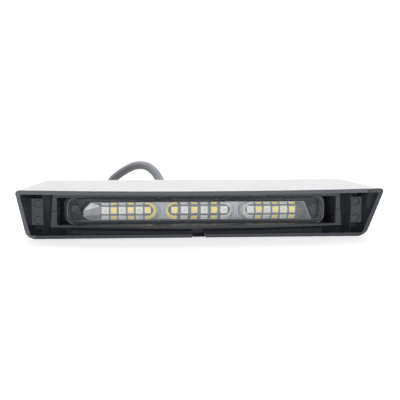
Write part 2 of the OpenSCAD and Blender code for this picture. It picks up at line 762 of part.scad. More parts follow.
// Round tube along a list of points
module tube(p, r, sides) {
    n = len(p);
    rings = [for (i = [0:n - 1]) let(
        t = unit(p[min(i + 1, n - 1)] - p[max(i - 1, 0)]),
        a = unit(cross(t, [0, 0, 1])),
        b = cross(a, t))
        for (k = [0:sides - 1]) p[i] + r * (cos(360 * k / sides) * a + sin(360 * k / sides) * b)];
    faces = concat(
        [[for (k = [0:sides - 1]) k]],
        [for (i = [0:n - 2], k = [0:sides - 1]) let(m = (k + 1) % sides)
            [i * sides + m, i * sides + k, (i + 1) * sides + k]],
        [for (i = [0:n - 2], k = [0:sides - 1]) let(m = (k + 1) % sides)
            [i * sides + m, (i + 1) * sides + k, (i + 1) * sides + m]],
        [[for (k = [sides - 1:-1:0]) (n - 1) * sides + k]]);
    polyhedron(rings, faces);
}

// Free stretch of the cable
module cable() {
    color("#5c5e63") tube(smooth(route, 4), cable_d / 2, 10);
}

// Coiled rest of the cable, as one ring with flat ends
module cable_coil() {
    color("#5c5e63") translate([coil_at[0], coil_at[1], coil_lift]) rotate([0, 0, 90 - coil_sweep])
        rotate_extrude(angle = coil_sweep) translate([coil_r - bundle_w / 2, 0]) union() {
            translate([2, 0]) square([bundle_w - 4, bundle_h]);
            translate([0, 2]) square([bundle_w, bundle_h - 4]);
            for (i = [2, bundle_w - 2], j = [2, bundle_h - 2]) translate([i, j]) circle(2);
        }
}

// Nylon tie round the coil's bundle
module cable_tie() {
    color("#1a1b1d") translate([coil_at[0] + coil_r, coil_at[1], coil_lift + bundle_h / 2])
        difference() {
            cube([bundle_w + 2.6, 4, bundle_h + 2.3], center = true);
            cube([bundle_w + 0.5, 5, bundle_h + 0.1], center = true);
        }
}

// Free end of the cable: a length of jacket with five stripped wires, on the ring's open end
module cable_end() {
    a = 90 - coil_sweep;
    end_x = coil_at[0] + outer_r * cos(a);
    end_y = coil_at[1] + outer_r * sin(a);
    color("#5c5e63") translate([end_x, end_y, coil_lift + 1.5 * cable_d]) rotate([88, 0, a]) {
        translate([0, 0, 0.15]) cylinder(d = cable_d, h = 8);
        for (k = [0:4]) rotate([0, 0, 72 * k]) translate([1.3, 0, 7.8]) rotate([0, 7, 0]) {
            cylinder(d = 1.3, h = 11);
            cylinder(d = 0.8, h = 15);
        }
    }
}

hood();
bezel();
fixing_screws();
frame_lower();
frame_upper();
frame_screws();
lens();
lens_seal();
optic_left();
optic_middle();
optic_right();
reflector();
clear_leds();
phosphor_leds();
circuit_board();
driver_chips();
thermal_pad();
lamp_base();
potting();
lamp_screws();
rear_cover();
cover_screws();
rear_seal();
mount_inserts();
cable_gland();
cable();
cable_coil();
cable_tie();
cable_end();
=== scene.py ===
"""Looks of a slim recessed warning light: white hood, dark glossy bezel, clear-lensed LED head.

Sizes are in millimetres in this file and are turned to metres where a mesh is made. The frame is
that of the CAD model: X to the right, Y to the rear, Z up, origin on the base.
"""

import math

import bmesh
import bpy
import numpy as np
from mathutils import Matrix, Vector


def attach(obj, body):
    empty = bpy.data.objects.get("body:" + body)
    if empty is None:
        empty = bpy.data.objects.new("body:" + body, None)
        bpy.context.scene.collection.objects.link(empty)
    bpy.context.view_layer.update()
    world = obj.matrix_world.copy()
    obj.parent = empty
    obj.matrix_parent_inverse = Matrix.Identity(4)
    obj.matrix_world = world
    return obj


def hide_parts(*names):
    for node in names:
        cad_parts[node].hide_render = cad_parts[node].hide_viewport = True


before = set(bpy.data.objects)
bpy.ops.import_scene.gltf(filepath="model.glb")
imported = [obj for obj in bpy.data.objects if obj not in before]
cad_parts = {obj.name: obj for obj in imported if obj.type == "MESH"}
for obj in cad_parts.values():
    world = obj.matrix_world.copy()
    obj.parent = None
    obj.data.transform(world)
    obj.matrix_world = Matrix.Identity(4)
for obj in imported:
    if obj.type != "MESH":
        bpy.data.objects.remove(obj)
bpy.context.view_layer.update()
scene = bpy.context.scene
MM = 0.001

# sizes of the hood and the bezel, as in the CAD source
body_w, body_h, base_d = 190.0, 28.0, 27.0
rake, bow, rim_w = 18.5, 9.0, 2.2
window_set, flank_w, plate_set, plate_head, screw_set = 16.5, 3.4, 1.0, 6.8, 2.6
front_y = -base_d / 2
plate_x, plate_y = body_w / 2 - window_set + flank_w, front_y + plate_set
plate_low_z, plate_high_z, recess_d = 7.4, body_h - plate_head, 4.5
screw_x, screw_low_z, screw_high_z = plate_x + screw_set, plate_low_z + screw_set, plate_high_z - screw_set
drain_w, tongue_y = 7.2, plate_y + 6.3

# sizes of the light head, as in the CAD source
lens_set, lens_rise, lens_share = 25.0, 6.4, 0.45
lens_w, lens_h, lens_z = body_w - 2 * lens_set, body_h - 2 * lens_rise, lens_share * body_h
lens_r, lens_wall, lens_d, lens_lip = 5.0, 1.4, 5.6, 1.5
flute_pitch, flute_d = 1.2, 0.4
led_drop, optic_gap, optic_margin = 0.5, 2.5, 3.0
group_pitch, board_shift, board_y, led_z = lens_w / 3.5, 1.8, 10.0, lens_z - led_drop
cavity_h = lens_h - 2 * lens_wall
optic_w, optic_h = group_pitch - optic_gap, cavity_h - optic_margin
optic_r, optic_y, optic_foot_y, optic_front_r = optic_h / 2 - 0.01, 2.0, 4.9, 9.0
room_h, room_r, step_y = optic_h + 0.4, 2.0, 4.0
pitch_outer, pitch_middle = 4.65, 5.45
clear_w, white_w, led_t = 3.906, 3.488, 0.9

# sizes of the cable, as in the CAD source
gland_x, gland_y, gland_z = -14.0, 32.5, lens_z + 1.4
cable_d = 5.2
coil_x, coil_y, coil_r, strand_z = 12.0, 107.0, 28.5, 3.8

# sizes of what is finer or placed otherwise than in the CAD source
row_x, row_z = 0.4, led_z - 0.35  # the LED row as the solid optics move its image
clear_window, die_w, cup_d, led_bevel = 3.2, 1.5, 0.1, 0.08
white_window_w, white_window_h, white_narrowing = 3.15, 3.3, 0.36
straight_middle, straight_outer = 13.95, 11.6  # half the straight length of a trough
pad_r, floor_r, mirror_r = 2.0, 2.42, 4.6
seat_straight, seat_r, block_r = optic_w / 2 - optic_r + 0.09, optic_r + 0.1, optic_h / 2 + 0.1
floor_y, mirror_y, block_y, block_back_y = 9.5, 4.95, 4.1, 9.85
acrylic_t, optic_in_r = 0.8, optic_r - 0.79
end_screws_x, end_screw_y, end_screw_z = (4.3 - lens_w / 2, lens_w / 2 - 4.6), 8.3, lens_z + 0.4
coil_step, layer_rise = 5.35, 5.25
tail_l, tail_rise = 8.0, 0.035
core_l, core_r, strands_r, core_set = 15.0, 0.65, 0.4, 1.3


# camera
def aim_camera():
    """Stands at the photograph's viewpoint; its axes are built from azimuth, elevation and roll."""
    az, el, roll = -0.0900, 0.1380, 0.0050
    aim, distance = np.array([0.0, -14.0, 14.0]), 570.6
    focal_px, image_px = 1078.9, 400.0
    back = np.array([math.sin(az) * math.cos(el), -math.cos(az) * math.cos(el), math.sin(el)])
    right = np.array([math.cos(az), math.sin(az), 0.0])
    up = np.cross(right, -back)
    side = math.cos(roll) * right + math.sin(roll) * up
    head = math.cos(roll) * up - math.sin(roll) * right
    place = aim + distance * back
    data = bpy.data.cameras.new("viewpoint")
    data.sensor_width = 36.0
    data.lens = data.sensor_width * focal_px / image_px
    data.shift_x, data.shift_y = 0.0023, 0.0290
    data.clip_start, data.clip_end = 0.02, 20.0
    camera = bpy.data.objects.new("viewpoint", data)
    turn = np.eye(4)
    turn[:3, 0], turn[:3, 1], turn[:3, 2], turn[:3, 3] = side, head, back, place * MM
    camera.matrix_world = Matrix(turn.tolist())
    scene.collection.objects.link(camera)
    scene.camera = camera


aim_camera()


# mesh making
def quads(rows, columns, wrap=False):
    """Faces of a grid with the given rows and columns; wrap joins the last column to the first."""
    i = np.arange(rows - 1)[:, None]
    j = np.arange(columns if wrap else columns - 1)[None, :]
    k = (j + 1) % columns
    corners = [i * columns + j, i * columns + k, (i + 1) * columns + k, (i + 1) * columns + j]
    return np.stack([c + 0 * (i + j) for c in corners], axis=-1).reshape(-1, 4)


def surface(points, wrap=False):
    """A grid of points as one part of a mesh: its vertices and its faces."""
    points = np.asarray(points, float)
    return points.reshape(-1, 3), quads(points.shape[0], points.shape[1], wrap).tolist()


def shell(points):
    """A closed body: a grid that wraps along its columns, with its first and last rows filled."""
    vertices, faces = surface(points, wrap=True)
    rows, columns = np.asarray(points).shape[:2]
    faces.append(list(range(columns))[::-1])
    faces.append(list(range((rows - 1) * columns, rows * columns)))
    return vertices, faces


def build(name, parts, smooth_below=40.0, closed=True, finishes=None):
    """Joins the parts into one mesh object, merges what coincides and turns its faces outwards. Finishes
    gives each part's place in the piece's list of materials."""
    vertices, faces, kinds, first = [], [], [], 0
    for order, (points, polygons) in enumerate(parts):
        vertices.append(points)
        faces += [[first + corner for corner in polygon] for polygon in polygons]
        kinds += [finishes[order] if finishes else 0] * len(polygons)
        first += len(points)
    mesh = bpy.data.meshes.new(name)
    mesh.from_pydata((np.concatenate(vertices) * MM).tolist(), [], faces)
    mesh.polygons.foreach_set("material_index", kinds)
    work = bmesh.new()
    work.from_mesh(mesh)
    bmesh.ops.remove_doubles(work, verts=work.verts, dist=1e-6)
    if closed:
        bmesh.ops.recalc_face_normals(work, faces=work.faces)
    work.to_mesh(mesh)
    work.free()
    mesh.shade_smooth()
    mesh.set_sharp_from_angle(angle=math.radians(smooth_below))
    made = bpy.data.objects.new(name, mesh)
    scene.collection.objects.link(made)
    return made


def dress(made, material, slot, *nodes):
    """Gives a piece its material or materials and lets it stand for its CAD nodes; the slot is not used."""
    kinds = np.zeros(len(made.data.polygons), dtype=np.int32)
    made.data.polygons.foreach_get("material_index", kinds)
    made.data.materials.clear()
    for one in material if isinstance(material, (list, tuple)) else [material]:
        made.data.materials.append(one)
    made.data.polygons.foreach_set("material_index", kinds)
    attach(made, "root")
    if nodes:
        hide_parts(*nodes)
    return made


def softened(name, node, width, angle=35.0):
    """A merged copy of a CAD node whose sharp edges carry a small rounding of the given width."""
    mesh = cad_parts[node].data.copy()
    mesh.name = name
    work = bmesh.new()
    work.from_mesh(mesh)
    bmesh.ops.remove_doubles(work, verts=work.verts, dist=2e-6)
    bmesh.ops.dissolve_limit(work, angle_limit=math.radians(1.0), verts=work.verts, edges=work.edges)
    work.to_mesh(mesh)
    work.free()
    mesh.shade_smooth()
    mesh.set_sharp_from_angle(angle=math.radians(angle))
    made = bpy.data.objects.new(name, mesh)
    scene.collection.objects.link(made)
    rounding = made.modifiers.new("rounding", "BEVEL")
    rounding.width, rounding.segments = width * MM, 2
    rounding.limit_method, rounding.angle_limit = "ANGLE", math.radians(angle)
    rounding.harden_normals = True
    return made


# materials
def linear(code):
    """An sRGB hex colour as linear red, green, blue and alpha."""
    parts = [int(code[k : k + 2], 16) / 255 for k in (1, 3, 5)]
    return [c / 12.92 if c <= 0.04045 else ((c + 0.055) / 1.055) ** 2.4 for c in parts] + [1.0]


def add(tree, kind, feeds=None, **settings):
    """Adds a node, sets its properties or socket values, and links its sockets to their feeds."""
    made = tree.nodes.new(kind)
    for key, value in settings.items():
        if key in made.bl_rna.properties:
            setattr(made, key, value)
        else:
            made.inputs[key.replace("_", " ")].default_value = value
    for socket, source in (feeds or {}).items():
        tree.links.new(source, made.inputs[socket])
    return made


def blank_material(name):
    """An empty material and its node tree."""
    material = bpy.data.materials.new(name)
    material.use_nodes = True
    material.node_tree.nodes.clear()
    return material, material.node_tree


def grained(name, colour, shade, roughness, grain_mm, grain_bump, rough_swing=0.05, metallic=0.0, coat=0.0,
            ior=1.5):
    """A moulded, cast or turned surface: two near colours in soft patches, a fine grain in its height,
    and roughness that drifts a little across it."""
    material, tree = blank_material(name)
    place = add(tree, "ShaderNodeTexCoord").outputs["Object"]
    patches = add(tree, "ShaderNodeTexNoise", {"Vector": place}, Scale=60.0, Detail=3.0)
    grain = add(tree, "ShaderNodeTexNoise", {"Vector": place}, Scale=1000.0 / grain_mm, Detail=2.0)
    tint = add(tree, "ShaderNodeMix", {"Factor": patches.outputs["Fac"]}, data_type="RGBA")
    tint.inputs["A"].default_value, tint.inputs["B"].default_value = linear(colour), linear(shade)
    gloss = add(tree, "ShaderNodeMapRange", {"Value": patches.outputs["Fac"]})
    gloss.inputs["From Min"].default_value, gloss.inputs["From Max"].default_value = 0.3, 0.7
    gloss.inputs["To Min"].default_value = max(roughness - rough_swing, 0.02)
    gloss.inputs["To Max"].default_value = roughness + rough_swing
    height = add(tree, "ShaderNodeBump", {"Height": grain.outputs["Fac"]}, Strength=grain_bump,
                 Distance=0.0001)
    body = add(tree, "ShaderNodeBsdfPrincipled", {"Base Color": tint.outputs["Result"],
                                                  "Roughness": gloss.outputs["Result"],
                                                  "Normal": height.outputs["Normal"]},
               Metallic=metallic)
    if metallic < 0.5:
        body.inputs["IOR"].default_value = ior
    body.inputs["Coat Weight"].default_value = coat
    add(tree, "ShaderNodeOutputMaterial", {"Surface": body.outputs["BSDF"]})
    return material


# White ASA, injection moulded and left satin: broad soft highlights, no colour of its own.
white_asa = grained("white_asa", "#f0f0f1", "#eeeeef", 0.40, 0.25, 0.02, 0.02)
# Dark-grey ABS from a polished mould: deep, glossy, mirrors its neighbours faintly.
polished_abs = grained("polished_grey_abs", "#1f2227", "#1d2025", 0.16, 0.40, 0.04, 0.03)
# Painted shade: the same moulding deep behind the side plates, coloured darker and given less reflection,
# where little light gets in.
recess_painted_shade_abs = grained("polished_grey_abs_painted_shade", "#0e0f12", "#101114", 0.16, 0.40, 0.04, 0.03)
recess_painted_shade_abs.node_tree.nodes["Principled BSDF"].inputs["Specular IOR Level"].default_value = 0.15
# The same moulding's rim, satin from an etched mould: lighter and softer than the funnel.
satin_rim = grained("satin_rim_abs", "#404248", "#3c3e44", 0.34, 0.25, 0.10)
# The same ABS from a spark-eroded mould: satin, with wider and softer highlights.
satin_abs = grained("satin_grey_abs", "#2c2e32", "#292b2f", 0.30, 0.20, 0.12)
# Glass-filled nylon of the rear cover: fine grain, nearly matte.
nylon_grained = grained("glass_filled_nylon", "#2b2d31", "#25272a", 0.55, 0.30, 0.45)
# Black-coated steel of the fixing screws: grey-black with narrow lines of light on its edges.
black_steel = grained("black_coated_steel", "#34353a", "#2d2e33", 0.30, 0.12, 0.10, 0.04, coat=0.2)
# Zinc-plated steel of the inner screws: pale grey metal with soft highlights.
zinc_steel = grained("zinc_plated_steel", "#b9bbbe", "#a9acb0", 0.30, 0.12, 0.10, 0.05, metallic=1.0)
# Vacuum-metallised reflector: aluminium on a polished moulding, a clean mirror of the LEDs.
metallised = grained("vacuum_metallised_aluminium", "#e6e8ea", "#e1e3e6", 0.04, 0.30, 0.0, 0.01, metallic=1.0)
# Die-cast aluminium of the lamp base under a black cathodic coat: dark behind the clear lens.
coated_casting = grained("black_coated_casting", "#121315", "#17181a", 0.45, 0.35, 0.35, 0.06)
# Turned brass of the inserts: warm yellow metal.
turned_brass = grained("turned_brass", "#c9a552", "#bd9645", 0.25, 0.15, 0.10, 0.05, metallic=1.0)
# Moulded epoxy of the driver chips: dull and nearly black.
chip_epoxy = grained("chip_epoxy", "#1f2023", "#191a1c", 0.45, 0.10, 0.20)
# Silicone gap pad, cast in sheets: dull blue-grey.
gap_pad = grained("silicone_gap_pad", "#7f92a6", "#74879b", 0.60, 0.25, 0.20)
# Black epoxy resin over the joints: poured, so it is glossy and a little wavy.
potting_resin = grained("potting_resin", "#17181a", "#1b1c1e", 0.20, 1.50, 0.10)
# Moulded silicone of the lens seal, smooth and dull, and die-cut EPDM foam, porous and matte.
silicone = grained("black_silicone", "#18191b", "#1c1d1f", 0.45, 0.20, 0.15)
foam = grained("closed_cell_foam", "#1d1e20", "#242527", 0.85, 0.45, 0.90)
# Moulded rubber of the strain relief: dark, dull, soft in its highlights.
gland_rubber = grained("moulded_rubber", "#222326", "#27282b", 0.50, 0.25, 0.25)
# Moulded nylon of the cable tie: black with a smooth sheen.
tie_nylon = grained("tie_nylon", "#141517", "#1a1b1d", 0.35, 0.30, 0.10)
# Polyurethane jacket of the cable, extruded: satin, dark grey, with soft highlights along it.
cable_pur = grained("polyurethane_jacket", "#45474b", "#3f4145", 0.36, 0.30, 0.20, coat=0.2)
# White ceramic of the LED packages, sintered: light and nearly matte.
led_ceramic = grained("white_led_ceramic", "#d5d4d1", "#cfcdc9", 0.35, 0.15, 0.05)
# Clear silicone over the ceramic in the cups: a smooth gloss on a light ground.
led_silicone = grained("clear_silicone_over_ceramic", "#dcdcd8", "#d2d2cf", 0.12, 0.30, 0.04, 0.03)
# The dies' top faces: a shade darker than the silicone round them.
led_die = grained("led_die", "#cccbc7", "#c4c3bf", 0.25, 0.10, 0.05)
# Yellow phosphor in silicone, cast: matte pale yellow that hides the die.
led_phosphor = grained("yellow_phosphor", "#efdf8a", "#e8d67c", 0.40, 0.12, 0.15)
# The reflector's plain faces: metallised over an etched mould, satin.
satin_metal = grained("metallised_satin_faces", "#b1b4b8", "#a5a8ac", 0.32, 0.15, 0.08, 0.05, metallic=0.6)
# The tongue in the drain notch, between gloss and satin: painted shade, a copy of the frame's satin coloured
# darker than the strip above it.
drain_painted_shade_abs = grained("abs_drain_tongue_painted_shade", "#26282c", "#232529", 0.34, 0.15, 0.10, 0.05)
# The troughs' floors round the LEDs: thin aluminium over a matt face, mid grey between the LEDs.
matt_metal = grained("metallised_matt_floor", "#8f9296", "#878a8e", 0.50, 0.15, 0.10, 0.05, metallic=0.3)
# Painted highlight: the facet at the light head's upper left corner, which turns bright, is aluminium etched
# evenly in a paler colour than the other facets.
facet_painted_highlight_metal = grained("metallised_facet_painted_highlight", "#dfe1e4", "#d2d5d9", 0.45, 0.20, 0.08, 0.05, metallic=0.2)
# Black solder resist on the circuit board: smooth and satin.
black_resist = grained("black_solder_resist", "#1b1c1e", "#202123", 0.30, 0.15, 0.12)
# Coloured PVC insulation of the five cores, extruded: even colours with a soft shine.
core_red = grained("red_core_insulation", "#a3221f", "#93201d", 0.40, 0.20, 0.10)
core_black = grained("black_core_insulation", "#1a1a1c", "#222225", 0.40, 0.20, 0.10)
core_yellow = grained("yellow_core_insulation", "#c9a91f", "#bd9d1c", 0.40, 0.20, 0.10)
core_white = grained("white_core_insulation", "#dad9d5", "#cfcecb", 0.40, 0.20, 0.10)
core_blue = grained("blue_core_insulation", "#27477f", "#223f73", 0.40, 0.20, 0.10)
# Tinned copper strands at the cores' ends: bright grey, uneven metal.
tinned_copper = grained("tinned_copper_strands", "#b9b6b0", "#a8a49d", 0.30, 0.20, 0.30, 0.05, metallic=1.0)


def clear_plastic(name, tint, haze, edge):
    """A clear thin-walled moulding: it lets light straight through, carries a faint haze where it is seen
    square on, and its walls turn light where they are seen edge on."""
    material, tree = blank_material(name)
    facing = add(tree, "ShaderNodeLayerWeight", Blend=0.5).outputs["Facing"]
    cover = add(tree, "ShaderNodeMapRange", {"Value": facing})
    cover.inputs["To Min"].default_value, cover.inputs["To Max"].default_value = haze, edge
    body = add(tree, "ShaderNodeBsdfPrincipled", {"Alpha": cover.outputs["Result"]}, Roughness=0.05, IOR=1.49)
    body.inputs["Base Color"].default_value = linear(tint)
    add(tree, "ShaderNodeOutputMaterial", {"Surface": body.outputs["BSDF"]})
    return material


# Clear polycarbonate of the lens and clear acrylic of the optics: injection moulded, polished.
polycarbonate = clear_plastic("clear_polycarbonate", "#83878b", 0.032, 0.70)
acrylic = clear_plastic("clear_acrylic", "#a9adb0", 0.02, 0.30)
# The lens's rounded edges, which gather light, as a painted highlight: a hazier copy of the clear lens that
# draws fine paler lines round its ends and under the optics.
lens_painted_highlight = clear_plastic("polycarbonate_painted_edge_highlight", "#8b8d97", 0.42, 0.62)


# cable
route = np.array([
    [gland_x, gland_y - 2.0, gland_z], [-14.05, 36.5, 14.15], [-14.2, 41.0, 14.7], [-15.0, 49.6, 17.9],
    [-16.6, 58.0, 22.3], [-19.5, 66.3, 26.8], [-24.0, 74.8, 29.7], [-30.0, 83.6, 29.3],
    [-36.3, 92.3, 25.7], [-42.5, 100.8, 20.4], [-45.7, 109.4, 15.6], [-45.8, 118.6, 11.2],
    [-42.7, 127.3, 7.8], [-36.8, 134.4, 5.5], [-28.8, 139.0, 4.1], [-19.8, 140.7, strand_z],
    [-9.0, 140.7, strand_z], [1.5, 140.7, strand_z], [coil_x, 140.7, strand_z]])


def through(points, steps):
    """A smooth curve through the points: on each span a cubic whose slopes come from its neighbours."""
    before = np.vstack([points[:1], points[:-2]])
    a, b, c = before, points[:-1], points[1:]
    d = np.vstack([points[2:], points[-1:]])
    t = (np.arange(steps) / steps)[None, :, None]
    a, b, c, d = (v[:, None, :] for v in (a, b, c, d))
    curve = 0.5 * (2 * b + (c - a) * t + (2 * a - 5 * b + 4 * c - d) * t**2
                   + (3 * b - a - 3 * c + d) * t**3)
    return np.vstack([curve.reshape(-1, 3), points[-1:]])


def coil_line():
    """Just under five turns, wound clockwise. The lower layer steps inwards once a turn, the cable climbs
    at the inside, and the upper layer steps outwards; each step is a smooth ramp of about 100 degrees."""
    degrees = np.arange(0.0, 1760.1, 6.0)

    def ramp(first, last):
        t = np.clip((degrees - first) / (last - first), 0, 1)
        return t * t * (3 - 2 * t)

    radius = coil_r + cable_d - coil_step * (ramp(250, 360) + ramp(610, 720))
    radius = radius + coil_step * (ramp(1260, 1370) + ramp(1620, 1730))
    height = strand_z + layer_rise * ramp(950, 1040)
    angle = math.pi / 2 - np.radians(degrees)
    return np.stack([coil_x + radius * np.cos(angle), coil_y + radius * np.sin(angle), height], axis=1)


def frames_along(line):
    """Two directions square to a line at each of its points: one level, the other as upright as can be."""
    tangent = np.gradient(line, axis=0)
    tangent /= np.linalg.norm(tangent, axis=1)[:, None]
    across = np.cross(tangent, [0.0, 0.0, 1.0])
    across /= np.linalg.norm(across, axis=1)[:, None]
    return across, np.cross(across, tangent)


def tube(line, radius, sides=20):
    """A round tube: circles of the given radius, square to the line at each of its points."""
    across, upward = frames_along(line)
    turn = np.linspace(0, 2 * math.pi, sides, endpoint=False)
    circles = (across[:, None, :] * np.cos(turn)[None, :, None]
               + upward[:, None, :] * np.sin(turn)[None, :, None])
    return line[:, None, :] + radius * circles


coil = coil_line()
heading = coil[-1] - coil[-2]
heading /= np.linalg.norm(heading)
tail = coil[-1] + (heading + [0, 0, tail_rise]) * np.linspace(tail_l / 4, tail_l, 4)[:, None]
cable_line = np.vstack([through(route, 4)[:-1], coil, tail])
cable_piece = dress(build("cable_run", [shell(tube(cable_line, cable_d / 2))], 60.0),
                    cable_pur, "cable_jacket", "cable", "cable_coil")


def wires():
    """Five stripped cores that fan out of the jacket: each line is the jacket's heading plus a spread that
    grows with the square of the distance, insulated over its first part and bare at its end."""
    insulated, bare = [], []
    upright = np.array([0, 0, 1.0])
    side = np.cross(heading, upright)
    s = np.linspace(-0.5, core_l, 32)[:, None]
    for k in range(5):
        turn = 2 * math.pi * k / 5
        out = side * math.cos(turn) + upright * math.sin(turn)
        line = tail[-1] + heading * s + out * (core_set + 0.006 * np.clip(s, 0, core_l) ** 2)
        insulated.append(shell(tube(line[:24], core_r, 12)))
        bare.append(shell(tube(line[23:], strands_r, 12)))
    return insulated + bare


wire_piece = dress(build("stripped_wires", wires(), 50.0, finishes=[0, 1, 2, 3, 4, 5, 5, 5, 5, 5]),
                   [core_red, core_black, core_yellow, core_white, core_blue, tinned_copper],
                   "cable_jacket", "cable_end")
tie_piece = dress(softened("tie_band", "cable_tie", 0.4), tie_nylon, "tie_nylon", "cable_tie")


# turned screws
def turned(profile, x, z, sides=48):
    """A body turned about an axis along Y: each row of the profile is a radius, a depth and 0 or 1, and
    with 1 the radius is divided by the cosine of the angle to the nearest flat, which makes a hexagon."""
    r, y, hexed = np.array(profile, float).T
    a = np.linspace(0, 2 * math.pi, sides, endpoint=False)
    flat = 1 / np.cos((a % (math.pi / 3)) - math.pi / 6)
    radius = r[:, None] * (1 + hexed[:, None] * (flat - 1)[None, :])
    depth = np.broadcast_to(y[:, None], radius.shape)
    return surface(np.stack([x + radius * np.cos(a), depth, z + radius * np.sin(a)], axis=-1), wrap=True)


def screw_rows(y, head_r, head_t, shank_r, shank_l):
    """Profile of a socket screw, from the tip to the bottom of its socket: shank, head with a rounded
    edge, a raised ring, a groove, an inner disc and a hexagonal socket."""
    back = y + head_t
    return [(0, back + shank_l, 0), (shank_r - 0.15, back + shank_l, 0), (shank_r, back + shank_l - 0.3, 0),
            (shank_r, back, 0), (head_r, back, 0), (head_r, y + 0.3, 0), (head_r - 0.09, y + 0.09, 0),
            (head_r - 0.3, y, 0), (0.72 * head_r, y, 0), (0.69 * head_r, y + 0.25, 0),
            (0.63 * head_r, y + 0.25, 0), (0.60 * head_r, y + 0.05, 0), (0.46 * head_r, y + 0.05, 0),
            (0.36 * head_r, y + 0.07, 1), (0.36 * head_r, y + 0.8, 1), (0, y + 0.95, 0)]


plate_rows = screw_rows(plate_y + 0.1, head_r=1.9, head_t=1.2, shank_r=1.1, shank_l=11.0)
fixing = [turned(plate_rows, side * screw_x, z) for side in (-1, 1) for z in (screw_low_z, screw_high_z)]
dress(build("plate_screws", fixing, 30.0), black_steel, "dark_screw", "fixing_screws")
end_rows = screw_rows(end_screw_y, head_r=2.3, head_t=1.3, shank_r=0.9, shank_l=2.5)
ends = [turned(end_rows, x, end_screw_z) for x in end_screws_x]
dress(build("lens_end_screws", ends, 30.0), black_steel, "dark_screw")


# light head
def ring(w, h, r, x, y, z, narrowing=0.0, per_corner=6):
    """Outline of a rounded rectangle: a quarter circle of radius r about each of four corner centres. Its
    width shrinks by the given share from the top to the bottom."""
    a = np.linspace(0, math.pi / 2, per_corner)
    turns = np.concatenate([a + k * math.pi / 2 for k in range(4)])
    signs = np.repeat([[1, 1], [-1, 1], [-1, -1], [1, -1]], per_corner, axis=0)
    dx = signs[:, 0] * (w / 2 - r) + r * np.cos(turns)
    dz = signs[:, 1] * (h / 2 - r) + r * np.sin(turns)
    dx = dx * (1 - narrowing * (0.5 - dz / h))
    return np.stack([x + dx, np.full(len(dx), float(y)), z + dz], axis=1)


def group_x(g):
    """Middle of one of the three groups of LEDs."""
    return board_shift + (g - 1) * group_pitch


def led_places(kind):
    """Middles of the LEDs of one kind, which alternate in each group of six."""
    places = []
    for g in range(3):
        pitch = pitch_middle if g == 1 else pitch_outer
        first = (kind + (g == 1)) % 2
        places += [group_x(g) + row_x + (i - 2.5) * pitch for i in range(first, 6, 2)]
    return places


def package(x, w, window_w, window_h, narrowing=0.0):
    """One LED package: a square block whose front edge is bevelled and whose face has a shallow cup, as a
    band through five rings, and the cup's floor as a part of its own."""
    front = board_y - led_t
    face_w = w - 2 * led_bevel
    cup = ring(window_w - 0.1, window_h - 0.1, 0.25, x, front + cup_d, row_z, narrowing)
    block = np.stack([ring(w, w, 0.2, x, board_y, row_z), ring(w, w, 0.2, x, front + led_bevel, row_z),
                      ring(face_w, face_w, 0.2, x, front, row_z),
                      ring(window_w, window_h, 0.3, x, front, row_z, narrowing), cup])
    vertices, faces = surface(block, wrap=True)
    faces.append(list(range(len(cup)))[::-1])
    return (vertices, faces), (cup, [list(range(len(cup)))])


def die(x):
    """The square die of a clear LED, which stands a little above the cup's floor."""
    cup_y = board_y - led_t + cup_d
    return shell(np.stack([ring(die_w, die_w, 0.05, x, y, row_z) for y in (cup_y + 0.01, cup_y - 0.04)]))


clear_parts = [part for x in led_places(0)
               for part in (*package(x, clear_w, clear_window, clear_window), die(x))]
dress(build("clear_led_packages", clear_parts, 30.0, finishes=[0, 1, 2] * 9),
      [led_ceramic, led_silicone, led_die], "clear_led", "clear_leds")
phosphor_parts = [part for x in led_places(1)
                  for part in package(x, white_w, white_window_w, white_window_h, white_narrowing)]
dress(build("phosphor_led_packages", phosphor_parts, 30.0, finishes=[0, 1] * 9),
      [led_ceramic, led_phosphor], "phosphor_led", "phosphor_leds")


# The corners (x, z) of the light head's ends on the five outlines of a trough, the innermost outline
# first: three facets at the left end, from the top down, and one slant at the right end, upwards.
left_corners = np.array([[[-52.2, 14.1], [-52.2, 14.1], [-52.2, 10.1], [-52.2, 10.1]],
                         [[-52.5, 14.4], [-52.5, 14.4], [-52.5, 9.8], [-52.5, 9.8]],
                         [[-56.9, 16.6], [-60.5, 12.6], [-60.5, 9.6], [-57.6, 7.55]],
                         [[-57.1, 16.75], [-60.8, 12.8], [-60.8, 9.4], [-57.9, 7.4]],
                         [[-57.3, 16.9], [-61.1, 12.9], [-61.1, 9.2], [-58.1, 7.3]]])
right_corners = np.array([[[55.5, 10.1], [55.5, 14.1]], [[55.8, 9.8], [55.8, 14.4]],
                          [[63.0, 7.55], [59.0, 16.6]], [[63.3, 7.4], [59.3, 16.75]],
                          [[63.6, 7.3], [59.4, 16.9]]])


def trough_lines(g):
    """Five outlines of one trough, with matched points: the plated part of its floor, the whole floor,
    its mirror's front edge, the seat of the optic and the block's outside. Each is a straight length with
    half circles at its ends, middle + (l + r cos a, r sin a), and the middle trough is longer than the
    outer ones. The light head's left end has three facets instead and its right end one slant. The floor
    is set under the LED row, and the mirror's edge a little lower than the seat."""
    a = np.linspace(-math.pi / 2, math.pi / 2, 14)
    straight = straight_middle if g == 1 else straight_outer
    rounds = [(straight, pad_r), (straight, floor_r), (straight, mirror_r), (seat_straight, seat_r)]
    right = [np.stack([length + r * np.cos(a), r * np.sin(a)], axis=1) for length, r in rounds]
    right.append(np.stack([np.full(len(a), group_pitch / 2 - 0.002), block_r * np.sin(a)], axis=1))
    right = np.stack(right)
    left = right[:, ::-1] * [-1, 1]
    here = [group_x(g), led_z]
    if g == 0:
        left = left_corners - here
    if g == 2:
        right = right_corners - here
    lines = np.concatenate([right, left], axis=1) + here
    lines[:2] += [row_x, row_z - led_z]
    lines[2] += [0.0, -0.12]
    return lines


def at_depth(outline, y):
    """A flat outline set at a depth."""
    return np.stack([outline[:, 0], np.full(len(outline), float(y)), outline[:, 1]], axis=1)


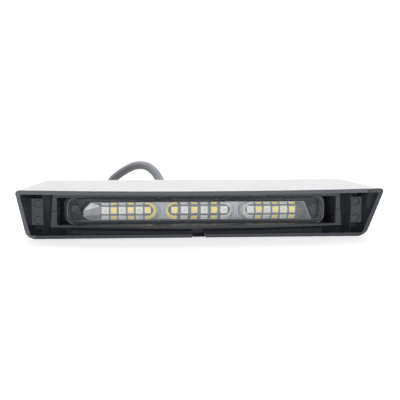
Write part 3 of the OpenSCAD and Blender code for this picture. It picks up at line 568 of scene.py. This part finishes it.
def trough(g):
    """One trough of the reflector as six parts: its first end facet, its other facets, its mirror wall, its
    plain front and outside, and its floor round and under the LEDs. Each is a band between two or more of
    the outlines, or fills one of them. The faces between the left end's corners are 14 to 16 of the
    wall's, and the right end's slant is face 0."""
    pad, floor, edge, seat, block = trough_lines(g)
    wall, wall_faces = surface(np.stack([at_depth(floor, floor_y), at_depth(edge, mirror_y)]), wrap=True)
    facets = {0: wall_faces[14:17], 2: wall_faces[:1]}.get(g, [])
    mirror_faces = [face for face in wall_faces if face not in facets]
    steps = [(edge, mirror_y), (seat, mirror_y), (seat, block_y), (block, block_y), (block, block_back_y)]
    plain, plain_faces = surface(np.stack([at_depth(*step) for step in steps]), wrap=True)
    plain_faces.append(list(range(len(plain) - len(block), len(plain))))
    margin = surface(np.stack([at_depth(pad, floor_y), at_depth(floor, floor_y)]), wrap=True)
    middle = (at_depth(pad, floor_y), [list(range(len(pad)))])
    return [(wall, facets[:1]), (wall, facets[1:]), (wall, mirror_faces), (plain, plain_faces),
            margin, middle]


trough_parts = [part for g in range(3) for part in trough(g)]
# The left trough's first end facet takes the paler metal, a painted highlight.
trough_finishes = [3, 1, 0, 1, 2, 2] + [1, 1, 0, 1, 2, 2] * 2
dress(build("mirror_troughs", trough_parts, 30.0, finishes=trough_finishes),
      [metallised, satin_metal, matt_metal, facet_painted_highlight_metal], "bright_reflector", "reflector")


def long_ring(w, h, r, y, z=lens_z, flutes=0.0):
    """Outline of a long rounded rectangle with many points along its two long sides. With flutes, those
    sides swing outwards by the given depth, d (1 + cos(2 pi x / pitch)) / 2."""
    x = np.linspace(1, -1, 601) * (w / 2 - r)
    swing = flutes * (1 + np.cos(2 * math.pi * x / flute_pitch)) / 2
    a = np.linspace(0, math.pi / 2, 9)[1:-1]
    arcs = []
    for k, (sx, sz) in enumerate([(1, 1), (-1, 1), (-1, -1), (1, -1)]):
        turns = a + k * math.pi / 2
        arcs.append(np.stack([sx * (w / 2 - r) + r * np.cos(turns), sz * (h / 2 - r) + r * np.sin(turns)], 1))
    top, low = np.stack([x, h / 2 + swing], axis=1), np.stack([-x, -h / 2 - swing], axis=1)
    flat = np.concatenate([arcs[0], top, arcs[1], arcs[2], low, arcs[3]])
    return np.stack([flat[:, 0], np.full(len(flat), float(y)), z + flat[:, 1]], axis=1)


def ribbed(outline, depth):
    """The outline with its long sides set back by d (1 + cos(2 pi x / pitch)) / 2: ribs along X."""
    middle = np.abs(outline[:, 0]) < lens_w / 2 - lens_r
    back = depth * (1 + np.cos(2 * math.pi * outline[:, 0] / flute_pitch)) / 2
    return outline - np.stack([0 * back, np.where(middle, back, 0.0), 0 * back], axis=1)


def lens():
    """The clear lens as one closed skin, a band through twelve outlines: from the inner front face over the
    fluted room in front of the optics, the ribbed step, the cavity, the flange and the dome to the outer
    front face. The edges that catch the light, under the optics and round the ends, are a part of their
    own, which carries a painted highlight."""
    inner_w, cavity_r = lens_w - 2 * lens_wall, lens_r - lens_wall
    flange = (lens_w + 2 * lens_lip, lens_h + 1, lens_r + 0.5)
    flange_y, edge, round_in = lens_d + 1.2, 0.4, 0.6
    rib = 0.5
    rings = [long_ring(inner_w - 2 * edge, room_h - 2 * edge, room_r - edge, lens_wall, led_z),
             long_ring(inner_w, room_h, room_r, lens_wall + edge, led_z, flute_d),
             long_ring(inner_w, room_h, room_r, step_y - 0.6, led_z, flute_d),
             ribbed(long_ring(inner_w, room_h, room_r, step_y, led_z, flute_d), rib),
             ribbed(long_ring(inner_w, cavity_h, cavity_r, step_y), rib),
             long_ring(inner_w, cavity_h, cavity_r, flange_y),
             long_ring(*flange, flange_y),
             long_ring(*flange, lens_d),
             long_ring(lens_w, lens_h, lens_r, lens_d),
             long_ring(lens_w, lens_h, lens_r, round_in),
             long_ring(lens_w - 0.4, lens_h - 0.4, lens_r - 0.2, 0.17),
             long_ring(lens_w - 2 * round_in, lens_h - 2 * round_in, lens_r - round_in, 0.0)]
    vertices, faces = shell(np.stack(rings))
    corners = np.array(faces[:-2])
    row = np.arange(len(corners)) * (len(rings) - 1) // len(corners)
    x, _, z = vertices[corners].mean(axis=1).T
    under_optics = (row == 0) & (z < led_z - 3) & (np.abs(x) < 63)
    round_ends = (row >= len(rings) - 3) & (np.abs(x) > lens_w / 2 - lens_r)
    # Faces that carry the lens's painted highlight.
    lit = under_optics | round_ends
    return [(vertices, corners[~lit].tolist() + faces[-2:]), (vertices, corners[lit].tolist())]


dress(build("clear_lens", lens(), 40.0, finishes=[0, 1]), [polycarbonate, lens_painted_highlight], "clear_lens", "lens")


def optic(g):
    """A clear optic: outlines of a long round-ended shape that shrink towards its middle line, whose depth
    follows a cylinder of radius R, y = front + R - sqrt(R^2 - z^2). The inner face is the same cylinder set
    back by the wall."""
    a = np.linspace(-math.pi / 2, math.pi / 2, 17)
    turns = np.concatenate([a, a + math.pi])[None, :]
    straight = optic_w / 2 - optic_r
    along = group_x(g) + np.repeat([straight, -straight], len(a))[None, :]

    def lines(r, y=None, back=0.0):
        z = r * np.sin(turns)
        if y is None:
            y = optic_y + optic_front_r - np.sqrt(optic_front_r**2 - z**2) + back
        return np.stack([along + r * np.cos(turns), np.broadcast_to(y, z.shape), led_z + z], axis=-1)

    out = np.sin(np.linspace(0, math.pi / 2, 10))[:, None]
    rows = np.concatenate([lines(optic_r * out), lines(np.array([[optic_r]]), optic_foot_y),
                           lines(np.array([[optic_in_r]]), optic_foot_y),
                           lines(optic_in_r * out[::-1], back=acrylic_t)])
    return surface(rows, wrap=True)


for g, node in enumerate(("optic_left", "optic_middle", "optic_right")):
    dress(build("clear_" + node, [optic(g)], 35.0), acrylic, "clear_optic", node)


# bezel: polished funnel and satin rim
def bezel_piece():
    """The bezel's own shape with small roundings. Faces that lie on the raked and bowed front face, where
    y = front - rake z / h - bow (1 - (2 x / w)^2) z / h, above the rim's bottom bar, and the two side
    plates are satin. The bottom bar stays polished and the recesses behind the plates are darker: both
    are painted shade."""
    made = softened("bezel_moulding", "bezel", 0.2)
    count = len(made.data.polygons)
    middles = np.zeros(count * 3)
    made.data.polygons.foreach_get("center", middles)
    x, y, z = (middles.reshape(-1, 3) / MM).T
    face = front_y - rake * z / body_h - bow * (1 - (2 * x / body_w) ** 2) * z / body_h
    # The rim's bottom bar, below rim_w, is left in the darker polished finish: painted shade next to the
    # floor.
    rim = (np.abs(y - face) < 0.3) & (z > rim_w)
    plates = (np.abs(y - plate_y) < 0.1) & (np.abs(x) > plate_x - 0.2) & (z > plate_low_z)
    # The recesses behind the plates take the darker copy of the polished finish: painted shade.
    recesses = (np.abs(y - plate_y - recess_d) < 0.1) & (np.abs(x) > plate_x - 2)
    made.data.polygons.foreach_set("material_index", (rim + 2 * plates + 3 * recesses).astype(np.int32))
    return dress(made, [polished_abs, satin_rim, satin_abs, recess_painted_shade_abs], "bezel_grey", "bezel")


bezel_piece()


def drain_lip():
    """The tongue's foot in the drain notch, from the solid tongue's face to the front: one side view (y, z)
    swept along X, which shrinks at both ends by middle + share (side - middle)."""
    side = np.array([[tongue_y + 0.05, 3.5], [tongue_y - 0.3, 3.4], [tongue_y - 0.5, 2.4],
                     [tongue_y - 0.9, 1.5], [tongue_y - 1.8, 1.15], [front_y + 0.6, 0.95],
                     [front_y + 0.2, 0.65], [front_y + 0.4, 0.35], [tongue_y + 0.05, 0.35]])
    middle = side.mean(axis=0)
    half = drain_w / 2 - 0.25
    ends = [(-half, 0.94), (0.1 - half, 1.0), (half - 0.1, 1.0), (half, 0.94)]
    rows = [np.column_stack([np.full(len(side), x), middle + (side - middle) * share]) for x, share in ends]
    return shell(np.stack(rows))


# The drain tongue wears the darker satin: painted shade in the notch.
dress(build("drain_lip", [drain_lip()], 35.0), drain_painted_shade_abs, "frame_grey")


# other pieces: the CAD shapes with their edges rounded as moulded, cast or turned ones are
looks = {
    "hood": (white_asa, "white_shell", 0.2), "frame_lower": (satin_abs, "frame_grey", 0.12),
    "frame_upper": (satin_abs, "frame_grey", 0.12), "frame_screws": (zinc_steel, "plated_screw", 0.1),
    "lens_seal": (silicone, "seal_rubber", 0.1), "circuit_board": (black_resist, "board_black", 0.05),
    "driver_chips": (chip_epoxy, "chip_black", 0.05), "thermal_pad": (gap_pad, "pad_rubber", 0.05),
    "lamp_base": (coated_casting, "cast_base", 0.15), "potting": (potting_resin, "resin_black", 0.1),
    "lamp_screws": (zinc_steel, "plated_screw", 0.15), "rear_cover": (nylon_grained, "cover_grey", 0.3),
    "cover_screws": (zinc_steel, "plated_screw", 0.15), "rear_seal": (foam, "foam_rubber", 0.2),
    "mount_inserts": (turned_brass, "insert_brass", 0.1), "cable_gland": (gland_rubber, "gland_rubber", 0.25),
}
for node, (material, slot, width) in looks.items():
    dress(softened("soft_" + node, node, width), material, slot, node)


# studio
def studio():
    """A pale floor that curves up into a backdrop along a quarter circle, a bright even sky and five soft
    lamps. The cable has a lamp of its own, and the front lamp spares it."""
    reach, bend_y, bend_r, top, sunk = 7000.0, 900.0, 500.0, 2500.0, 0.05
    t = np.linspace(0, math.pi / 2, 12)
    bend = np.stack([bend_y + bend_r * np.sin(t), bend_r - bend_r * np.cos(t)], axis=1)
    profile = np.vstack([[[-reach, 0.0]], bend, [[bend_y + bend_r, top]]])
    x = np.linspace(-reach, reach, 3)
    sweep = np.stack([np.broadcast_to(x[None, :], (len(profile), 3)),
                      np.broadcast_to(profile[:, :1], (len(profile), 3)),
                      np.broadcast_to(profile[:, 1:] - sunk, (len(profile), 3))], axis=-1)
    floor = build("studio_floor", [surface(sweep)], closed=False)
    paper, tree = blank_material("studio_paper")
    body = add(tree, "ShaderNodeBsdfPrincipled", Roughness=0.9)
    body.inputs["Base Color"].default_value = (0.93, 0.93, 0.93, 1)
    body.inputs["Emission Color"].default_value = (1, 1, 1, 1)
    body.inputs["Emission Strength"].default_value = 0.50
    add(tree, "ShaderNodeOutputMaterial", {"Surface": body.outputs["BSDF"]})
    floor.data.materials.append(paper)
    world = bpy.data.worlds.new("studio")
    world.use_nodes = True
    world.node_tree.nodes["Background"].inputs["Color"].default_value = (1, 1, 1, 1)
    world.node_tree.nodes["Background"].inputs["Strength"].default_value = 0.18
    scene.world = world
    lamps = [("overhead", (0, 0.1, 1.1), (0, 0, 0), (0.5, 0.5), 1.7),
             ("front", (0, -1.8, 0.24), (0, 0, 0), (0.8, 0.3), 35.0),
             ("front_left", (-0.9, -1.2, 0.7), (0, 0, 0), (0.7, 0.7), 1.0),
             ("front_right", (1.1, -0.9, 0.45), (0, 0, 0), (0.7, 0.7), 7.0),
             ("cable_key", (-0.10, 0.0, 0.68), (-0.03, 0.08, 0.03), (0.5, 0.5), 24.0)]
    cable_only = bpy.data.collections.new("lit_by_cable_key")
    cable_only.objects.link(cable_piece)
    spared = bpy.data.collections.new("spared_by_front_lamp")
    spared.objects.link(cable_piece)
    spared.collection_objects[0].light_linking.link_state = "EXCLUDE"
    lit = {"cable_key": cable_only, "front": spared}
    for name, at, target, (width, height), power in lamps:
        data = bpy.data.lights.new(name, "AREA")
        data.shape, data.energy = "RECTANGLE", power
        data.size, data.size_y = width, height
        lamp = bpy.data.objects.new(name, data)
        lamp.location = at
        lamp.visible_glossy = name not in lit
        if name in lit:
            lamp.light_linking.receiver_collection = lit[name]
        lamp.rotation_mode = "QUATERNION"
        lamp.rotation_quaternion = (Vector(target) - Vector(at)).to_track_quat("-Z", "Y")
        scene.collection.objects.link(lamp)
    scene.view_settings.view_transform = "Standard"


studio()
